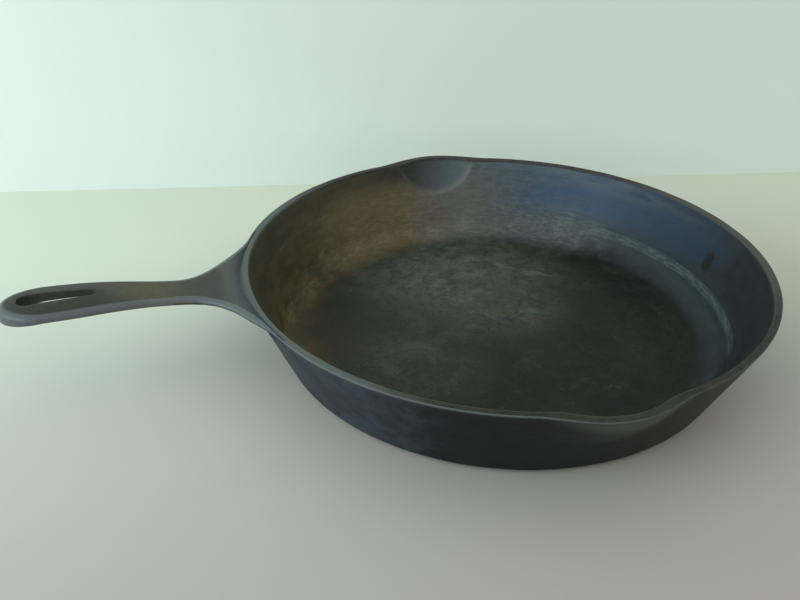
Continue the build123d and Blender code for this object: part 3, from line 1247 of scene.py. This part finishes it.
def seasoned_iron():
    """The finish of the whole casting."""
    material, tree = new_finish("seasoned_iron")
    iron = IronPattern(tree)
    inside, lip, edge = (iron.tone(name) for name in TONES)
    border = iron.radius + (iron.blot - 0.5) * 16 * MM
    pan = mix(tree, border.step(FLAT - 12 * MM, FLAT + 12 * MM), floor_look(iron), wall_look(iron))
    # edges paler all round from wear, and paler still on the side towards the window as a painted highlight
    edge_wear_and_highlight = edge * (0.1 + iron.side("worn_edge_and_highlight") * 0.45 + iron.fleck * 0.25)
    layers = ((pan, inside), (rim_look(iron), lip * 0.85), ("worn_edge_and_highlight", edge_wear_and_highlight))
    height = iron.grain * 0.5 + iron.fleck * 0.9 + iron.blot * 1.6 + inside * iron.streak * 0.5
    bump = {"Strength": GRAIN_STRENGTH, "Distance": GRAIN_DEPTH, "Height": height}
    values = {
        "Base Color": iron.layers(outer_look(iron), layers),
        "Roughness": 0.38 + iron.blot * 0.16 + iron.fleck * 0.1 + inside * 0.04 - edge * 0.2,
        "Normal": tree.node("ShaderNodeBump", {}, bump),
        "Specular IOR Level": SHINE,
    }
    return set_surface(material, tree.node("ShaderNodeBsdfPrincipled", {}, values))


def plain_finish(name, colour, clouded, front, one_sided=False):
    """A matt painted surface with a faint cloudiness, which changes a little towards the front colour; on the
    counter that is a painted shade, darker towards the front.
    """
    material, tree = new_finish(name)
    place = tree.node("ShaderNodeTexCoord", output=3)
    cloud = tree.node("ShaderNodeTexNoise", {}, {"Vector": place, "Scale": 1 / CLOUD_SIZE, "Detail": 3.0})
    back = tree.node("ShaderNodeSeparateXYZ", {}, {"Vector": place}, output=1).step(*FRONT_TO_BACK)
    # painted shade: the front colour darkens the counter towards the front
    tint = mix(tree, back, front, mix(tree, cloud, colour, clouded))
    shader = tree.node("ShaderNodeBsdfPrincipled", {}, {"Base Color": tint, "Roughness": MATT})
    if one_sided:
        clear = tree.node("ShaderNodeBsdfTransparent")
        from_behind = tree.node("ShaderNodeNewGeometry", output=6)
        sides = {"Fac": from_behind, "Shader": shader, "Shader_001": clear}
        shader = tree.node("ShaderNodeMixShader", {}, sides)
    return set_surface(material, shader)


# ---- stage, light and camera ----


def make_sheet(name, corners, finish):
    mesh = bpy.data.meshes.new(name)
    mesh.from_pydata(corners, [], [(0, 1, 2, 3)])
    mesh.materials.append(finish)
    show(name, mesh)


def make_stage():
    """A pale counter with painted shade darkening it towards the front, and a pale wall across it at a slight
    angle, which is only there from the front.
    """
    counter = plain_finish("pale_counter", "counter", "clouded_counter", "counter_painted_shade")
    paint = plain_finish("pale_wall", "paint", "clouded_paint", "paint", one_sided=True)
    square = [(-1, -1), (1, -1), (1, 1), (-1, 1)]
    make_sheet("counter", [(x * STAGE_REACH, y * STAGE_REACH, 0) for x, y in square], counter)
    x, y = STAGE_REACH * cos(WALL_ANGLE), STAGE_REACH * sin(WALL_ANGLE)
    left, right = (-x, WALL_Y - y), (x, WALL_Y + y)
    corners = [(*left, 0), (*right, 0), (*right, WALL_HEIGHT), (*left, WALL_HEIGHT)]
    make_sheet("wall", corners, paint)


def make_lights():
    """A window on the left, and an even light in the room."""
    lamp = bpy.data.lights.new("window", "AREA")
    lamp.shape = "RECTANGLE"
    lamp.size, lamp.size_y = WINDOW_SIZE
    lamp.energy = WINDOW_POWER
    lamp.color = WINDOW_COLOUR
    window = show("window", lamp)
    window.location = WINDOW_PLACE
    window.rotation_euler = (-Vector(WINDOW_PLACE)).to_track_quat("-Z", "Y").to_euler()
    world = bpy.data.worlds.new("room")
    world.use_nodes = True
    back = world.node_tree.nodes["Background"]
    back.inputs["Color"].default_value = ROOM_COLOUR
    back.inputs["Strength"].default_value = ROOM_LIGHT
    bpy.context.scene.world = world


def make_camera():
    """Stand the camera in front and above, tilted a little, looking down on the pan."""
    forward = (Vector(CAMERA_AIM) - Vector(CAMERA_PLACE)).normalized()
    level = forward.cross(Vector((0, 0, 1))).normalized()
    upright = level.cross(forward)
    right = level * cos(CAMERA_ROLL) + upright * sin(CAMERA_ROLL)
    up = right.cross(forward)
    lens = bpy.data.cameras.new("camera")
    lens.lens = CAMERA_LENS
    lens.sensor_width = CAMERA_SENSOR
    lens.clip_start = CAMERA_NEAR
    camera = show("camera", lens)
    turned = Matrix((right, up, -forward)).transposed().to_4x4()
    camera.matrix_world = Matrix.Translation(CAMERA_PLACE) @ turned
    bpy.context.scene.camera = camera


make_camera()
make_lights()
make_stage()
iron = seasoned_iron()
make_casting(iron)
make_ring(iron)
bpy.context.scene.view_settings.view_transform = "Standard"
